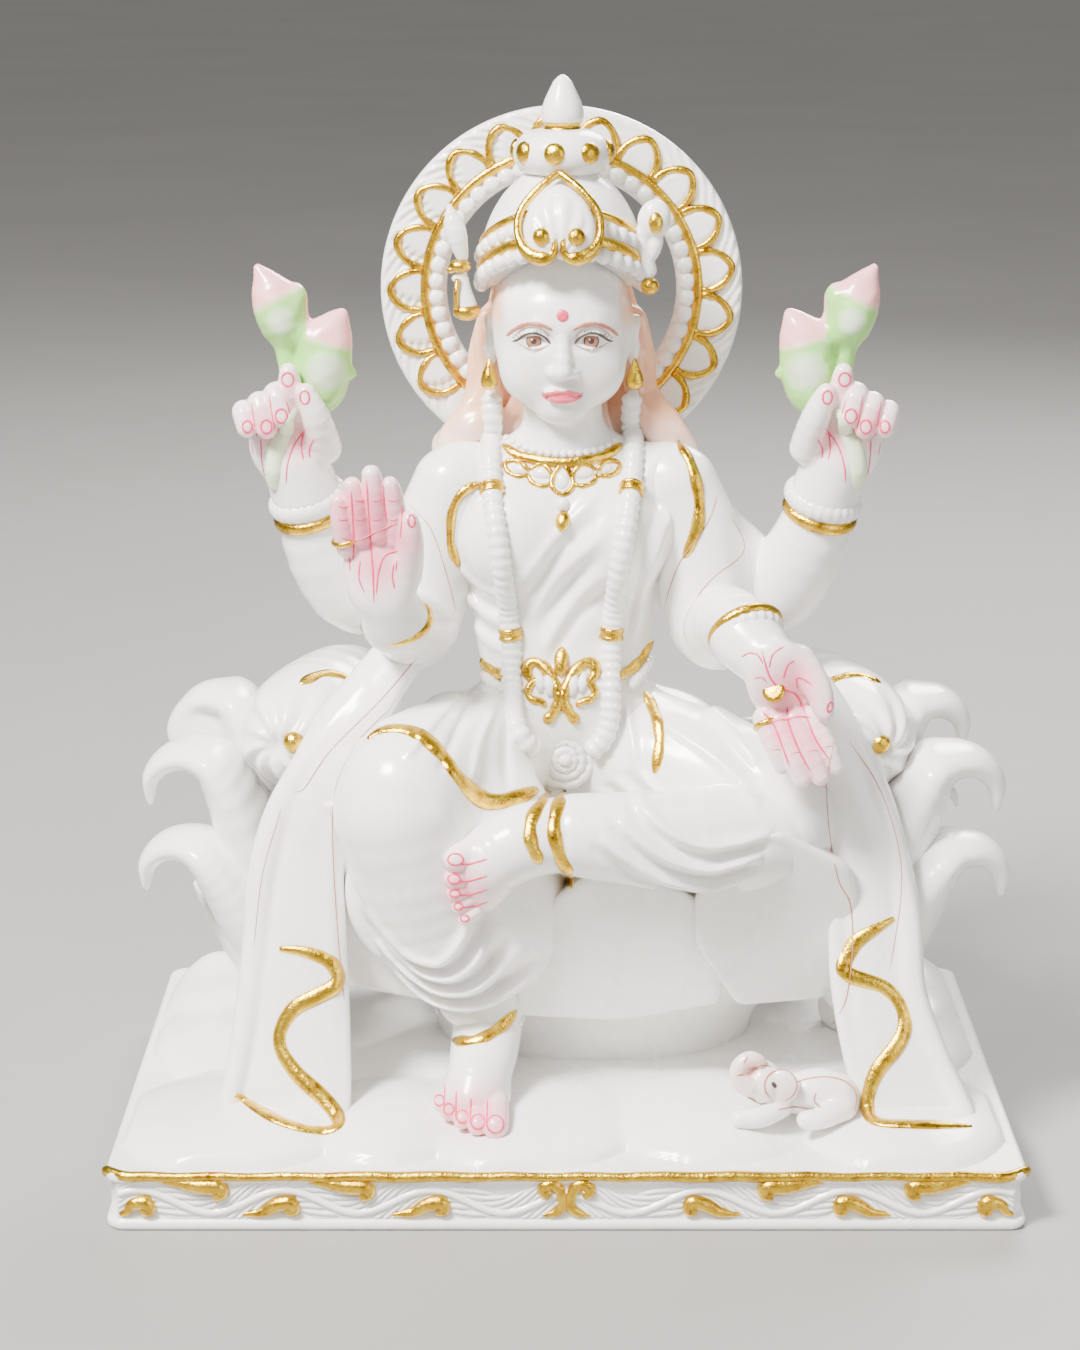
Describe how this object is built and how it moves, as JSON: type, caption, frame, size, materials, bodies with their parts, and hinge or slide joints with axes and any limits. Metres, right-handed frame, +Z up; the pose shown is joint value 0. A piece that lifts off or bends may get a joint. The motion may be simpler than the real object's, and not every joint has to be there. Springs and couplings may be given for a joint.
{
  "type": "seated four-armed goddess shrine figure",
  "caption": "Marble deity seated on a lotus throne with one leg down, a round halo behind the crown, raised and giving hands, bolsters, shawl and a small elephant.",
  "frame": {"origin": "middle of the plinth's underside, on the surface that the statue stands on", "axes": "+Z up, +X to the figure's own left, -Y the way the figure faces, so its face looks along -Y"},
  "size_m": [0.252, 0.16, 0.305],
  "materials": {
    "marble": "polished white marble",
    "painted_marble": "white marble tinted pink with fine red lines",
    "peach_marble": "white marble with a thin peach wash",
    "bud_paint": "painted marble, green at the foot and pink at the tip",
    "gold_leaf": "burnished gold leaf"
  },
  "bodies": {
    "root": {"plinth": "marble", "ground_mound": "marble", "lotus_core": "marble", "front_petal_right": "marble", "front_petal_middle": "marble", "front_petal_left": "marble", "petal_right_upper": "marble", "petal_right_lower": "marble", "petal_right_rear": "marble", "petal_right_outer": "marble", "petal_left_upper": "marble", "petal_left_lower": "marble", "petal_left_rear": "marble", "petal_left_outer": "marble", "petal_left_inner": "marble", "back_petal_right": "marble", "back_petal_middle": "marble", "back_petal_left": "marble", "bolster_right": "marble", "bolster_left": "marble", "bolster_button_right": "gold_leaf", "bolster_button_left": "gold_leaf", "hips": "marble", "right_leg": "marble", "left_leg": "marble", "right_foot": "painted_marble", "left_foot": "painted_marble", "anklets": "gold_leaf", "torso": "marble", "head": "marble", "hair": "peach_marble", "earrings": "gold_leaf", "crown_cap": "marble", "crown_collar": "marble", "crown_finial": "marble", "crown_plaque": "gold_leaf", "crown_tassel": "marble", "crown_flower": "marble", "halo": "marble", "right_front_arm": "marble", "left_front_arm": "marble", "right_rear_arm": "marble", "left_rear_arm": "marble", "right_front_hand": "painted_marble", "left_front_hand": "painted_marble", "right_rear_hand": "painted_marble", "left_rear_hand": "painted_marble", "lotus_buds_right": "bud_paint", "lotus_buds_left": "bud_paint", "bangles": "gold_leaf", "coin": "gold_leaf", "garland": "marble", "necklace": "gold_leaf", "belt_buckle": "gold_leaf", "shawl_right": "marble", "shawl_left": "marble", "elephant": "marble"}
  },
  "joints": []
}
